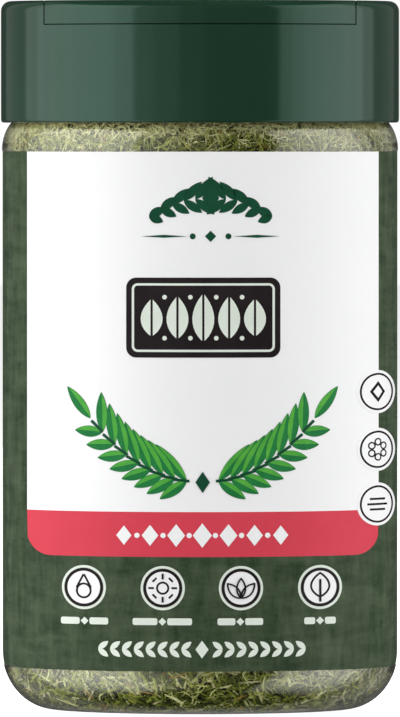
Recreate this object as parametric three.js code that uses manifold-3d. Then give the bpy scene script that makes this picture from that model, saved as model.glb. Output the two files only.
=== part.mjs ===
// A 250 ml spice jar of dried dill.
//
// A blown clear plastic jar stands on a ring round its pushed-up base. Its rounded heel and
// shoulder meet a straight wall that is set back a little, and the label lies in that recess.
// A one-piece green cap screws onto the 57 mm neck. Two doors hinge on a bridge across its top:
// the front one covers a dozen sifting holes, the rear one an opening for a spoon. The jar is
// filled with chopped dried dill, which lies against the wall all round.
//
// Millimetres, +Z up, the front faces -Y, and the origin is the middle of the base.

import * as THREE from "three";
import { mergeVertices } from "three/addons/utils/BufferGeometryUtils.js";
import Module from "manifold-3d";

const wasm = await Module();
wasm.setup();

// ---------------------------------------------------------------- driving dimensions

const FACETS = 48; // round the jar and the label
const CAP_FACETS = 64;
const BED_FACETS = 60; // round the bed of the fill

// Jar
const JAR_RADIUS = 30.35;
const JAR_WALL = 0.9;
const HEEL_WIDTH = 8; // how far the heel's curve runs in from the wall
const HEEL_HEIGHT = 9;
const STANDING_RING = 20.4; // inner edge of the flat ring that the jar stands on
const PUSH_UP = 2.6; // height of the base's middle above the ring
const PUSH_UP_RADIUS = 13; // the pushed-up middle is nearly flat out to here
const FLOOR = 1;
const SHOULDER_FOOT = 85.6;
const SHOULDER_WIDTH = 4;
const SHOULDER_RISE = 5.5;
const SHOULDER_END = 74.8; // degrees of the shoulder's curve, where it meets the neck
const NECK_RADIUS = 27.4;
const MOUTH_RADIUS = 25.5;
const RIM_HEIGHT = 102.95;
const RIM_CHAMFER = 0.5;
const NECK_FOOT = 91.2; // where the inside of the shoulder turns up into the neck

// Label
const LABEL_FOOT = 6.75;
const LABEL_HEAD = 85.4;
const LABEL_THICKNESS = 0.3;
const LABEL_PROUD = -0.1; // its face against the jar's own outline
const LABEL_FIT = 0.15; // clearance to the recess, on every side
const LABEL_SEAM = 7; // bare strip where its ends stop short of each other, at the back
const LABEL_BEND = 7.8; // a height on the heel's curve that the label follows

// Thread, one and a quarter turns
const PITCH = 4.2;
const TURNS = 1.25;
const THREAD_FOOT = 94.6; // the neck ridge's lower end
const RIDGE_HEIGHT = 1.1;
const RIDGE_ROOT = 1.8;
const RIDGE_CREST = 0.8;
const RIDGE_SUNK = 0.35; // how far its root lies in the wall
const RIDGE_STEPS = 36; // round one turn
const RIDGE_RUN_OUT = 5; // steps over which an end fades

// Cap
const CAP_RADIUS = 30.5;
const CAP_FOOT = 89.8;
const CAP_HEAD = 108.4;
const CAP_WALL = 1.3;
const CAP_EDGE = 1.5; // rounding of the top edge
const DECK_TOP = 104.45;
const DECK_THICKNESS = 1.2;
const PLUG_RADIUS = 25.1; // the ring that seals inside the mouth
const PLUG_WALL = 1.1;
const PLUG_FOOT = 100.4;
const BRIDGE_HALF = 4.5; // half the fixed strip between the doors
const CHANNEL_HALF = 21; // half the length of the hollow under the bridge
const DOOR_HALF = 24; // half a door's width
const DOOR_GAP = 0.3;
const SIFT_HOLE_RADIUS = 1.8;
const SIFT_ROWS = [
  { y: -10, count: 5, spacing: 7 },
  { y: -15.5, count: 4, spacing: 7 },
  { y: -21, count: 3, spacing: 6 },
];
const PEG_RADIUS = 1.35;
const PLUG_DEPTH = 0.5; // how far pegs and rib reach below the deck's top
const SPOON_NEAR = 6.5; // edge of the spoon's opening by the bridge
const SPOON_HALF = 20;
const SPOON_FAR_RADIUS = 22.6;
const RIB_FIT = 0.4;
const RIB_WALL = 1;

// Dried dill
const FILL_FIT = 0.35; // clearance to the jar
const FILL_HEIGHT = 97.2; // the heap's mean level, in the neck
const HEAP_SWELL = 0.9;
const BED_DEPTH = 1.1; // how far the bed's mean surface lies inside the outermost pieces
const BED_RELIEF = 1.3; // how far its corners lie above or below each other
const BED_CALM = 15; // nearer the axis than this, its corners crowd and its relief fades
const SPRIG_RADII = [0.3, 0.55]; // at a sprig's two ends
const SPRIG_LENGTH = [3.5, 7];
const SPRIG_TIP = 0.16; // how steeply a sprig may lean out of the surface it lies on
const SPRIG_SEAT = [0.2, 0.75]; // how far above the bed's mean surface its middle lies
const SPRIGS = { base: 20, heel: 64, shoulder: 44, seam: 12, heap: 46 };

// ---------------------------------------------------------------- solids

// A closed three.js geometry as a solid. Corners nearer than tolerance become one.
function solidOf(geometry, tolerance = 1e-4) {
  const bare = geometry.index ? geometry.toNonIndexed() : geometry.clone();
  bare.deleteAttribute("normal");
  bare.deleteAttribute("uv");
  const merged = mergeVertices(bare, tolerance);
  const corners = merged.index.array;
  const faces = [];
  for (let i = 0; i < corners.length; i += 3) {
    const [a, b, c] = corners.slice(i, i + 3);
    if (a !== b && b !== c && c !== a) faces.push(a, b, c);
  }
  return new wasm.Manifold(
    new wasm.Mesh({
      numProp: 3,
      vertProperties: merged.attributes.position.array,
      triVerts: new Uint32Array(faces),
    }),
  );
}

function geometryOf(solid) {
  const mesh = solid.getMesh();
  const geometry = new THREE.BufferGeometry();
  geometry.setAttribute("position", new THREE.BufferAttribute(mesh.vertProperties, 3));
  geometry.setIndex(new THREE.BufferAttribute(mesh.triVerts, 1));
  geometry.computeVertexNormals();
  return geometry;
}

// A profile of [radius, height] points, from low inside to high outside and back, turned about Z.
function turned(profile, facets = FACETS) {
  const points = profile.map(([r, z]) => new THREE.Vector2(r, z));
  const geometry = new THREE.LatheGeometry(points, facets);
  geometry.rotateX(Math.PI / 2);
  return geometry;
}

function boxBetween([x0, y0, z0], [x1, y1, z1]) {
  const geometry = new THREE.BoxGeometry(x1 - x0, y1 - y0, z1 - z0);
  geometry.translate((x0 + x1) / 2, (y0 + y1) / 2, (z0 + z1) / 2);
  return solidOf(geometry);
}

function disc(radius, foot, head, facets = CAP_FACETS) {
  return solidOf(
    turned([[0, foot], [radius, foot], [radius, head], [0, head]], facets),
  );
}

function upright(x, y, topRadius, footRadius, foot, head, sides) {
  const geometry = new THREE.CylinderGeometry(topRadius, footRadius, head - foot, sides);
  geometry.rotateX(Math.PI / 2);
  geometry.translate(x, y, (foot + head) / 2);
  return solidOf(geometry);
}

// Points on a quarter of an ellipse, at angles in degrees from the horizontal.
function arc(centreR, centreZ, width, height, from, to, steps) {
  const points = [];
  for (let i = 0; i <= steps; i++) {
    const angle = THREE.MathUtils.degToRad(from + ((to - from) * i) / steps);
    points.push([centreR + width * Math.cos(angle), centreZ + height * Math.sin(angle)]);
  }
  return points;
}

// A helical ridge of trapezoid section. Its root is sunk in the wall at rootRadius, its crest
// stands out by RIDGE_HEIGHT towards side (+1 outwards, -1 inwards), and its ends run out.
function threadRidge(rootRadius, side, footHeight) {
  const steps = Math.round(TURNS * RIDGE_STEPS);
  const positions = [];
  for (let i = 0; i <= steps; i++) {
    const angle = (i / steps) * TURNS * 2 * Math.PI;
    const z = footHeight + (i / steps) * TURNS * PITCH;
    const fade = Math.min(1, (Math.min(i, steps - i) + 0.6) / RIDGE_RUN_OUT);
    const crest = rootRadius + side * (RIDGE_HEIGHT * fade - (RIDGE_SUNK / 2) * (1 - fade));
    const root = rootRadius - side * RIDGE_SUNK;
    const section = [
      [root, -RIDGE_ROOT / 2],
      [crest, -RIDGE_CREST / 2],
      [crest, RIDGE_CREST / 2],
      [root, RIDGE_ROOT / 2],
    ];
    for (const [r, dz] of side > 0 ? section : section.reverse())
      positions.push(r * Math.cos(angle), r * Math.sin(angle), z + dz);
  }
  const faces = [0, 1, 2, 0, 2, 3];
  for (let i = 0; i < steps; i++)
    for (let k = 0; k < 4; k++) {
      const a = i * 4 + k;
      const b = i * 4 + ((k + 1) % 4);
      faces.push(a, a + 4, b, b, a + 4, b + 4);
    }
  const last = steps * 4;
  faces.push(last, last + 2, last + 1, last, last + 3, last + 2);
  const geometry = new THREE.BufferGeometry();
  geometry.setAttribute("position", new THREE.Float32BufferAttribute(positions, 3));
  geometry.setIndex(faces);
  return solidOf(geometry);
}

function named(name, solid, colour, roughness, extra = {}) {
  const finish = { color: colour, roughness, metalness: 0, ...extra };
  const mesh = new THREE.Mesh(geometryOf(solid), new THREE.MeshStandardMaterial(finish));
  mesh.name = name;
  return mesh;
}

// ---------------------------------------------------------------- jar

// The jar's outline on its straight wall and heel, before the recess is taken off.
function outlineAt(z) {
  const below = Math.max(0, HEEL_HEIGHT - z) / HEEL_HEIGHT;
  return JAR_RADIUS - HEEL_WIDTH + HEEL_WIDTH * Math.sqrt(1 - below * below);
}

const HEEL_CENTRE = JAR_RADIUS - HEEL_WIDTH;
const RECESS_FOOT = LABEL_FOOT - LABEL_FIT;
const RECESS_HEAD = LABEL_HEAD + LABEL_FIT;
const RECESS_DEPTH = LABEL_THICKNESS + LABEL_FIT - LABEL_PROUD;
const INNER_RADIUS = JAR_RADIUS - RECESS_DEPTH - JAR_WALL;
const INNER_HEEL = INNER_RADIUS - HEEL_CENTRE;
const INNER_SHOULDER = 26; // centre of the shoulder's curve inside

// The jar's inside, from the middle of its floor up to the mouth, stood off the wall by fit.
function insideProfile(fit = 0) {
  const floor = FLOOR + fit;
  const width = INNER_RADIUS - INNER_SHOULDER - fit;
  const rise = SHOULDER_RISE - 0.6 - fit;
  return [
    [0, PUSH_UP + floor],
    [PUSH_UP_RADIUS, PUSH_UP - 0.4 + floor],
    [STANDING_RING - 1.3, 0.9 + floor],
    [STANDING_RING + 0.2, floor],
    ...arc(HEEL_CENTRE, HEEL_HEIGHT, INNER_HEEL - fit, HEEL_HEIGHT - floor, -90, 0, 5),
    ...arc(INNER_SHOULDER, SHOULDER_FOOT - 0.4, width, rise, 0, 78, 4),
    [MOUTH_RADIUS - fit, NECK_FOOT - fit],
  ];
}

function makeJar() {
  const recessAngle = -THREE.MathUtils.radToDeg(Math.asin(1 - RECESS_FOOT / HEEL_HEIGHT));
  const shoulderCentre = JAR_RADIUS - SHOULDER_WIDTH;
  const shoulder = arc(shoulderCentre, SHOULDER_FOOT, SHOULDER_WIDTH, SHOULDER_RISE, 0, SHOULDER_END, 5);
  const outside = [
    [0, PUSH_UP],
    [PUSH_UP_RADIUS, PUSH_UP - 0.4],
    [STANDING_RING - 1.4, 0.8],
    [STANDING_RING, 0],
    ...arc(HEEL_CENTRE, HEEL_HEIGHT, HEEL_WIDTH, HEEL_HEIGHT, -90, recessAngle, 6),
    ...[RECESS_FOOT, LABEL_BEND, HEEL_HEIGHT].map((z) => [outlineAt(z) - RECESS_DEPTH, z]),
    [JAR_RADIUS - RECESS_DEPTH, RECESS_HEAD],
    [JAR_RADIUS, RECESS_HEAD],
    ...shoulder,
    [NECK_RADIUS, RIM_HEIGHT - RIM_CHAMFER],
    [NECK_RADIUS - RIM_CHAMFER, RIM_HEIGHT],
    [MOUTH_RADIUS + RIM_CHAMFER, RIM_HEIGHT],
    [MOUTH_RADIUS, RIM_HEIGHT - RIM_CHAMFER],
  ];
  const wall = solidOf(turned([...outside, ...insideProfile().reverse()]));
  return wall.add(threadRidge(NECK_RADIUS, +1, THREAD_FOOT));
}

// ---------------------------------------------------------------- label

function makeLabel() {
  const heights = [LABEL_FOOT, LABEL_BEND, HEEL_HEIGHT, LABEL_HEAD];
  const face = heights.map((z) => [outlineAt(z) + LABEL_PROUD, z]);
  const back = heights.map((z) => [outlineAt(z) + LABEL_PROUD - LABEL_THICKNESS, z]);
  const sleeve = solidOf(turned([...face, ...back.reverse(), face[0]]));
  const seam = boxBetween([-LABEL_SEAM / 2, 0, 0], [LABEL_SEAM / 2, 40, 100]);
  return sleeve.subtract(seam);
}

// ---------------------------------------------------------------- cap

const DOOR_FOOT = DECK_TOP + DOOR_GAP;
const PLATE_UNDER = CAP_HEAD - CAP_WALL;

function capOutline() {
  return solidOf(
    turned(
      [
        [0, CAP_FOOT],
        [CAP_RADIUS - 0.3, CAP_FOOT],
        [CAP_RADIUS, CAP_FOOT + 0.3],
        ...arc(CAP_RADIUS - CAP_EDGE, CAP_HEAD - CAP_EDGE, CAP_EDGE, CAP_EDGE, 0, 90, 4),
        [0, CAP_HEAD],
      ],
      CAP_FACETS,
    ),
  );
}

// The space of one door: side is -1 at the front, +1 at the rear.
function doorSpace(side, shrink, foot) {
  const near = BRIDGE_HALF + shrink;
  const half = DOOR_HALF - shrink;
  const [y0, y1] = side < 0 ? [-40, -near] : [near, 40];
  return boxBetween([-half, y0, foot], [half, y1, CAP_HEAD + 10]);
}

// The D-shaped outline of the spoon's opening, moved in by inset, from foot to head.
function spoonSpace(inset, foot, head) {
  const radius = SPOON_FAR_RADIUS - inset;
  const half = SPOON_HALF - inset;
  const near = SPOON_NEAR + inset;
  const corner = Math.acos(half / radius);
  const shape = new THREE.Shape();
  shape.moveTo(-half, near);
  shape.lineTo(half, near);
  shape.lineTo(half, radius * Math.sin(corner));
  shape.absarc(0, 0, radius, corner, Math.PI - corner, false);
  shape.closePath();
  const geometry = new THREE.ExtrudeGeometry(shape, {
    depth: head - foot,
    bevelEnabled: false,
    curveSegments: 14,
  });
  geometry.translate(0, 0, foot);
  return solidOf(geometry);
}

function siftPlaces() {
  return SIFT_ROWS.flatMap(({ y, count, spacing }) =>
    Array.from({ length: count }, (_, i) => [(i - (count - 1) / 2) * spacing, y]),
  );
}

function makeCapBody() {
  const deckUnder = DECK_TOP - DECK_THICKNESS;
  const inner = CAP_RADIUS - CAP_WALL;
  let body = capOutline()
    .subtract(disc(inner, CAP_FOOT - 1, deckUnder))
    .subtract(doorSpace(-1, 0, DECK_TOP))
    .subtract(doorSpace(+1, 0, DECK_TOP));

  // The crescents beside the doors and the bridge between them are channels, open below.
  const crescents = disc(inner, CAP_FOOT, PLATE_UNDER).subtract(
    boxBetween([-DOOR_HALF - CAP_WALL, -40, 0], [DOOR_HALF + CAP_WALL, 40, 200]),
  );
  const across = BRIDGE_HALF - CAP_WALL;
  const channel = boxBetween(
    [-CHANNEL_HALF, -across, CAP_FOOT],
    [CHANNEL_HALF, across, PLATE_UNDER],
  );
  body = body.subtract(crescents).subtract(channel);

  const plug = disc(PLUG_RADIUS, PLUG_FOOT, deckUnder + 0.4).subtract(
    disc(PLUG_RADIUS - PLUG_WALL, PLUG_FOOT - 1, CAP_HEAD),
  );
  body = body.add(plug);

  for (const [x, y] of siftPlaces())
    body = body.subtract(
      upright(x, y, SIFT_HOLE_RADIUS, SIFT_HOLE_RADIUS, deckUnder - 1, DECK_TOP + 1, 14),
    );
  body = body.subtract(spoonSpace(0, deckUnder - 1, DECK_TOP + 1));
  return body.add(threadRidge(inner, -1, THREAD_FOOT - PITCH / 2));
}

// A door is a plate with a lip that wraps over the cap's side, open along its hinge.
function makeDoor(side) {
  const tray = capOutline().intersect(doorSpace(side, DOOR_GAP, DOOR_FOOT));
  const half = DOOR_HALF - CAP_WALL;
  const hollow = disc(CAP_RADIUS - CAP_WALL, 0, PLATE_UNDER).intersect(
    boxBetween([-half, -40, 0], [half, 40, 200]),
  );
  return tray.subtract(hollow);
}

function makeSiftDoor() {
  let door = makeDoor(-1);
  for (const [x, y] of siftPlaces())
    door = door.add(
      upright(x, y, PEG_RADIUS, PEG_RADIUS - 0.3, DECK_TOP - PLUG_DEPTH, PLATE_UNDER + 0.4, 10),
    );
  return door;
}

function makeSpoonDoor() {
  const foot = DECK_TOP - PLUG_DEPTH;
  const rib = spoonSpace(RIB_FIT, foot, PLATE_UNDER + 0.4).subtract(
    spoonSpace(RIB_FIT + RIB_WALL, foot - 1, PLATE_UNDER + 1),
  );
  return makeDoor(+1).add(rib);
}

// ---------------------------------------------------------------- dried dill

// A repeatable stream of random numbers from 0 to 1.
function randomStream(seed) {
  let state = seed;
  return () => {
    state = (state + 0x6d2b79f5) | 0;
    let t = Math.imul(state ^ (state >>> 15), 1 | state);
    t = (t + Math.imul(t ^ (t >>> 7), 61 | t)) ^ t;
    return ((t ^ (t >>> 14)) >>> 0) / 4294967296;
  };
}

// The height of the heap's top in the neck: highest in the middle, and uneven.
function heapLevel(x, y) {
  const waves = Math.sin(x * 0.23 + 0.6) * Math.cos(y * 0.19);
  return FILL_HEIGHT + HEAP_SWELL * (waves - (x * x + y * y) / 700);
}

// Stretches of the fill's surface as [radius, height], from the floor's middle to the heap's.
function fillStretches(fit) {
  const inside = insideProfile(fit);
  const [floor, heel, shoulder] = [inside.slice(0, 4), inside.slice(3, 10), inside.slice(10)];
  const wall = [28, 47, 66].map((z) => [INNER_RADIUS - fit, z]);
  const mouth = MOUTH_RADIUS - fit;
  const heap = [1, 0.78, 0.52, 0.26, 0].map((share) => [mouth * share, FILL_HEIGHT]);
  return { floor, heel, wall, shoulder, neck: [[mouth, 94]], heap };
}

// The bed's surface is rough, as packed chopped leaves are: each vertex is moved in or out.
function makeBed() {
  const random = randomStream(11);
  const { floor, heel, wall, shoulder, neck, heap } = fillStretches(FILL_FIT + BED_DEPTH);
  const profile = [...floor, ...heel.slice(1), ...wall, ...shoulder, ...neck, ...heap];
  const geometry = turned(profile, BED_FACETS);
  const place = geometry.attributes.position;
  const reliefAt = new Map(); // a corner's moves are alike in every face that meets there
  for (let i = 0; i < place.count; i++) {
    const [x, y, z] = [place.getX(i), place.getY(i), place.getZ(i)];
    const key = [x, y, z].map((v) => Math.round(v * 100)).join();
    if (!reliefAt.has(key)) reliefAt.set(key, BED_RELIEF * (random() - 0.65));
    const radius = Math.hypot(x, y);
    const relief = reliefAt.get(key) * Math.min(1, radius / BED_CALM);
    if (z > FILL_HEIGHT - 0.01) {
      place.setZ(i, heapLevel(x, y) + relief);
    } else {
      const scale = radius > 1 ? 1 + relief / radius : 1;
      place.setXYZ(i, x * scale, y * scale, z < 5 ? z - relief * 0.6 : z);
    }
  }
  return solidOf(geometry);
}

// Lays a chopped piece of dill leaf, a slender three-sided needle, along a surface at a place.
function laySprig(random, place, outward) {
  const length = THREE.MathUtils.lerp(...SPRIG_LENGTH, random());
  const geometry = new THREE.CylinderGeometry(...SPRIG_RADII, length, 3);
  const along = new THREE.Vector3(0.31, 0.17, 0.93).cross(outward).normalize();
  along.applyAxisAngle(outward, random() * 2 * Math.PI);
  along.addScaledVector(outward, SPRIG_TIP * (random() - 0.5)).normalize();
  const turn = new THREE.Quaternion().setFromUnitVectors(new THREE.Vector3(0, 1, 0), along);
  geometry.applyQuaternion(turn);
  place.addScaledVector(outward, THREE.MathUtils.lerp(...SPRIG_SEAT, random()));
  geometry.translate(...place.toArray());
  return solidOf(geometry);
}

// A random place on a turned profile of [radius, height] points, as likely on every patch.
function placeOn(random, profile) {
  const spans = profile.slice(1).map(([r1, z1], i) => {
    const [r0, z0] = profile[i];
    return { r0, z0, r1, z1, area: Math.hypot(r1 - r0, z1 - z0) * (r0 + r1) };
  });
  let pick = random() * spans.reduce((sum, span) => sum + span.area, 0);
  const span = spans.find(({ area }) => (pick -= area) <= 0) ?? spans.at(-1);
  const along = random();
  const slope = new THREE.Vector2(span.z1 - span.z0, span.r0 - span.r1).normalize();
  return {
    r: THREE.MathUtils.lerp(span.r0, span.r1, along),
    z: THREE.MathUtils.lerp(span.z0, span.z1, along),
    outR: slope.x,
    outZ: slope.y,
  };
}

// Sprigs lie on the bed wherever it shows: under the base, round the heel and the shoulder, down
// the strip that the label leaves bare, and on the heap that an open door shows.
function makeDriedDill() {
  const random = randomStream(3);
  const { floor, heel, wall, shoulder, neck, heap } = fillStretches(FILL_FIT + BED_DEPTH);
  const allRound = () => random() * 2 * Math.PI;
  const alongSeam = () => Math.PI / 2 + (random() - 0.5) * 0.3;
  const bands = [
    { count: SPRIGS.base, profile: floor, turn: allRound },
    { count: SPRIGS.heel, profile: heel, turn: allRound },
    { count: SPRIGS.shoulder, profile: [...shoulder, ...neck, heap[0]], turn: allRound },
    { count: SPRIGS.seam, profile: [heel.at(-1), ...wall, shoulder[0]], turn: alongSeam },
  ];
  const pieces = [makeBed()];
  for (const { count, profile, turn } of bands)
    for (let i = 0; i < count; i++) {
      const { r, z, outR, outZ } = placeOn(random, profile);
      const angle = turn();
      const [x, y] = [Math.cos(angle), Math.sin(angle)];
      const outward = new THREE.Vector3(outR * x, outR * y, outZ);
      pieces.push(laySprig(random, new THREE.Vector3(r * x, r * y, z), outward));
    }
  for (let i = 0; i < SPRIGS.heap; i++) {
    const angle = allRound();
    const r = (MOUTH_RADIUS - 3) * Math.sqrt(random());
    const [x, y] = [r * Math.cos(angle), r * Math.sin(angle)];
    const lean = () => 0.4 * (random() - 0.5);
    const outward = new THREE.Vector3(lean(), lean(), 1).normalize();
    pieces.push(laySprig(random, new THREE.Vector3(x, y, heapLevel(x, y)), outward));
  }
  const ceiling = PLUG_FOOT - FILL_FIT;
  const room = solidOf(
    turned([...insideProfile(FILL_FIT), [MOUTH_RADIUS - FILL_FIT, ceiling], [0, ceiling]]),
  );
  const bodies = wasm.Manifold.union(pieces).intersect(room).decompose();
  return bodies.sort((a, b) => b.volume() - a.volume())[0]; // scraps cut loose are dropped
}

// ---------------------------------------------------------------- the object

const spiceJar = new THREE.Group();
spiceJar.add(
  named("jar", makeJar(), 0xdfe6dc, 0.06, { transparent: true, opacity: 0.3 }),
  named("label", makeLabel(), 0x435a41, 0.35),
  named("dried_dill", makeDriedDill(), 0x7d8246, 0.9),
  named("cap_body", makeCapBody(), 0x2b4a3b, 0.3),
  named("sift_door", makeSiftDoor(), 0x2b4a3b, 0.3),
  named("spoon_door", makeSpoonDoor(), 0x2b4a3b, 0.3),
);

export default spiceJar;
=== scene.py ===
import math

import bpy
import numpy as np
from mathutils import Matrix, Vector, noise


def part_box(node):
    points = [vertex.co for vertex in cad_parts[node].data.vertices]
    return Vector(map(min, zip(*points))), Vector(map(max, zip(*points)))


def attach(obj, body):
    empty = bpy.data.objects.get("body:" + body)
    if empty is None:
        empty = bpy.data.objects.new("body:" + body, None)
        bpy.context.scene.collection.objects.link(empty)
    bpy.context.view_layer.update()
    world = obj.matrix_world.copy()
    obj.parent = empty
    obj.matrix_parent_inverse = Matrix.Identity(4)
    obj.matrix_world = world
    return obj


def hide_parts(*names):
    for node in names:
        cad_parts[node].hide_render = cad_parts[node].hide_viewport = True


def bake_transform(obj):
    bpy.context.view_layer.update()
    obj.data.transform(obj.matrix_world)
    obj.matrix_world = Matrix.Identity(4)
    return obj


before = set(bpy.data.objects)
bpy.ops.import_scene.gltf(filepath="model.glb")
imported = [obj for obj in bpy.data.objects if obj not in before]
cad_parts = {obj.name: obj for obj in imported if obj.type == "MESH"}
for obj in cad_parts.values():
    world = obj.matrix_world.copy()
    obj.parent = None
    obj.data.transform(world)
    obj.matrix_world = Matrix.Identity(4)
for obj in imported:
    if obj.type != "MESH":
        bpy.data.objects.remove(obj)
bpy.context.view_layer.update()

MM = 0.001
scene = bpy.context.scene
scene.view_settings.view_transform = "Standard"
scene.cycles.use_denoising = True
scene.cycles.transparent_max_bounces = 24
scene.cycles.transmission_bounces = 12

# ------------------------ the camera
# It stands 2.2 m in front of the jar, level with its shoulder, and looks slightly down to
# the jar's middle through a long lens.
VIEW_DISTANCE = 2.2
EYE_HEIGHT = 88.7 * MM
AIM_HEIGHT = 53.65 * MM
SHOWN_HEIGHT = 109.9 * MM  # at the jar's axis
SENSOR = 36

bpy.ops.object.select_all(action="DESELECT")
bpy.ops.object.camera_add(location=(0, -VIEW_DISTANCE, EYE_HEIGHT))
camera = bpy.context.object
camera.data.sensor_width = SENSOR
camera.data.lens = SENSOR * VIEW_DISTANCE / SHOWN_HEIGHT
camera.data.clip_end = 50
down = math.atan((EYE_HEIGHT - AIM_HEIGHT) / VIEW_DISTANCE)
camera.rotation_euler = (math.pi / 2 - down, 0, 0)
scene.camera = camera

# ------------------------ the studio
# Two curved walls of soft light stand left and right of the jar, built from flat strips, and a
# faint one stands in front. Broad fills in front, above and behind add light but no reflection.
STUDIO_RADIUS = 0.7
STRIP_HEAD = 0.9
STRIP_FEET = [50, 100], [-1.9, -1.25]  # degrees from the front, height there
STRIPS = [  # where each starts, in degrees to the right of the front, and its radiance
    *((-180, 0.03), (-150, 0.24), (-119, 1.03), (-107, 1.7), (-96, 1.98), (-84, 2.22)),
    *((-72, 2.32), (-60, 2.34), (-50, 1.9), (-38, 0.72), (-26, 0.48), (-12, 0.19)),
    *((3, 0.05), (24, 0.025), (46, 1.15), (54, 1.55), (62, 1.9), (72, 2.04)),
    *((84, 1.95), (96, 1.68), (107, 0.88), (118, 0.2), (150, 0.04), (180, 0)),
]
STRIP_FOOT_FADE, STRIP_HEAD_FADE = 0.5, 0.9  # shares of a strip's height
FLOOR_DROP = 0.02 * MM
BACKDROP_THROUGH_WALL = 0.28  # how much of the backdrop's white the clear wall passes on


def dial(node, **values):
    """Sets a shader node's inputs by name, with _ for a space."""
    for name, value in values.items():
        node.inputs[name.replace("_", " ")].default_value = value
    return node


def add_node(tree, kind, **values):
    return dial(tree.nodes.new("ShaderNode" + kind), **values)


def link(source, out, target, into):
    """Joins an output of one shader node to an input of another."""
    source.id_data.links.new(source.outputs[out], target.inputs[into])


def maths(tree, operation, second=0.5):
    node = tree.nodes.new("ShaderNodeMath")
    node.operation = operation
    node.inputs[1].default_value = second
    return node


def colour_mix(tree, **values):
    node = tree.nodes.new("ShaderNodeMix")
    node.data_type = "RGBA"
    return dial(node, **values)


def material(name, **values):
    """A new material, its node tree and its Principled shader."""
    paint = bpy.data.materials.new(name)
    paint.use_nodes = True
    return paint, paint.node_tree, dial(paint.node_tree.nodes["Principled BSDF"], **values)


def soft_light(name, place, target, width, height, radiance, faded=False):
    bpy.ops.object.light_add(type="AREA", location=place)
    lamp = bpy.context.object
    lamp.name = name
    lamp.data.shape = "RECTANGLE"
    lamp.data.size = width
    lamp.data.size_y = height
    lamp.data.energy = radiance * math.pi * width * height
    lamp.rotation_euler = (Vector(target) - Vector(place)).to_track_quat("-Z", "Y").to_euler()
    lamp.visible_camera = False
    if faded:
        lamp.data.use_nodes = True
        tree = lamp.data.node_tree
        apart = add_node(tree, "SeparateXYZ")
        link(add_node(tree, "NewGeometry"), "Parametric", apart, 0)
        both_ends = maths(tree, "MULTIPLY")
        for i, (end, full) in enumerate(((0, STRIP_FOOT_FADE), (1, STRIP_HEAD_FADE))):
            fading = add_node(tree, "MapRange", From_Min=end, From_Max=full)
            fading.interpolation_type = "SMOOTHSTEP"
            link(apart, "Y", fading, "Value")
            link(fading, "Result", both_ends, i)
        link(both_ends, 0, tree.nodes["Emission"], "Strength")
    return lamp


for (first, radiance), (last, _) in zip(STRIPS, STRIPS[1:]):
    middle = math.radians((first + last) / 2)
    width = 2 * STUDIO_RADIUS * math.tan(math.radians(last - first) / 2)
    foot = np.interp(abs(first + last) / 2, *STRIP_FEET)
    level = (foot + STRIP_HEAD) / 2
    place = (STUDIO_RADIUS * math.sin(middle), -STUDIO_RADIUS * math.cos(middle), level)
    soft_light("softbox_strip", place, (0, 0, level), width, STRIP_HEAD - foot, radiance, True)
for name, place, size, radiance in (
    ("front_fill", (0.75, -1.35, 0), 1.6, 0.75),
    ("top_fill", (0, 0, 1.3), 1.6, 2.2),
    ("back_fill", (0.3, 1.6, 0.5), 1.4, 0.5),
):
    fill = soft_light(name, place, (0, 0, 0.05), size, size, radiance)
    fill.visible_glossy = fill.visible_transmission = False

world = bpy.data.worlds.new("studio")
scene.world = world
world.use_nodes = True
tree = world.node_tree
tree.nodes.clear()
# A white backdrop stands behind the jar: the camera sees it directly, and dimly through the wall.
path = add_node(tree, "LightPath")
apart = add_node(tree, "SeparateXYZ")
link(add_node(tree, "TexCoord"), "Generated", apart, 0)
behind = maths(tree, "GREATER_THAN")
link(apart, "Y", behind, 0)
through = maths(tree, "MULTIPLY")
link(path, "Is Transmission Ray", through, 0)
link(behind, 0, through, 1)
seen = maths(tree, "MULTIPLY_ADD", BACKDROP_THROUGH_WALL)
link(through, 0, seen, 0)
link(path, "Is Camera Ray", seen, 2)
tint = colour_mix(tree, A=(0.012, 0.012, 0.012, 1), B=(1, 1, 1, 1))
link(seen, 0, tint, "Factor")
sky = add_node(tree, "Background")
link(tint, "Result", sky, "Color")
link(sky, 0, add_node(tree, "OutputWorld"), "Surface")

bpy.ops.mesh.primitive_plane_add(size=12, location=(0, 0, -FLOOR_DROP))
floor = bpy.context.object
floor.name = "studio_floor"
floor_paint = material(
    "studio_floor",
    Base_Color=(0.9, 0.9, 0.9, 1),
    Roughness=0.9,
    Specular_IOR_Level=0.1,
    Emission_Color=(1, 1, 1, 1),
    Emission_Strength=0.85,
)[0]
floor.data.materials.append(floor_paint)
floor.visible_diffuse = floor.visible_glossy = False
floor.visible_transmission = floor.visible_shadow = False

# ------------------------ the jar
# A blown jar of clear polyester with a pushed-up base. It is one closed wall: the outline runs
# from the middle of the base out over heel, wall, shoulder and neck, and back down inside.
SIDES = 192  # round every turned piece
jar_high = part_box("jar")[1]
JAR_RADIUS, RIM_HEIGHT = jar_high.x, jar_high.z
HEEL_WIDTH, HEEL_HEIGHT = 8 * MM, 9 * MM
HEEL_CENTRE = JAR_RADIUS - HEEL_WIDTH
SHOULDER_FOOT, SHOULDER_WIDTH, SHOULDER_RISE = 85.6 * MM, 4 * MM, 5.5 * MM
SHOULDER_END = 74.8  # degrees round its curve, at the neck
NECK_RADIUS, MOUTH_RADIUS = 27.4 * MM, 25.5 * MM
LABEL_FOOT, LABEL_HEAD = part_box("label")[0].z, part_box("label")[1].z
RECESS_FOOT, RECESS_HEAD = LABEL_FOOT - 0.03 * MM, LABEL_HEAD + 0.03 * MM
LOW_RINGS = [RECESS_FOOT, 7.2 * MM, 7.8 * MM, 8.4 * MM, HEEL_HEIGHT]  # where the wall still curves
RECESS_DEPTH = 0.26 * MM
JAR_WALL = 0.25 * MM
NECK_FOOT = 91.2 * MM
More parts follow.
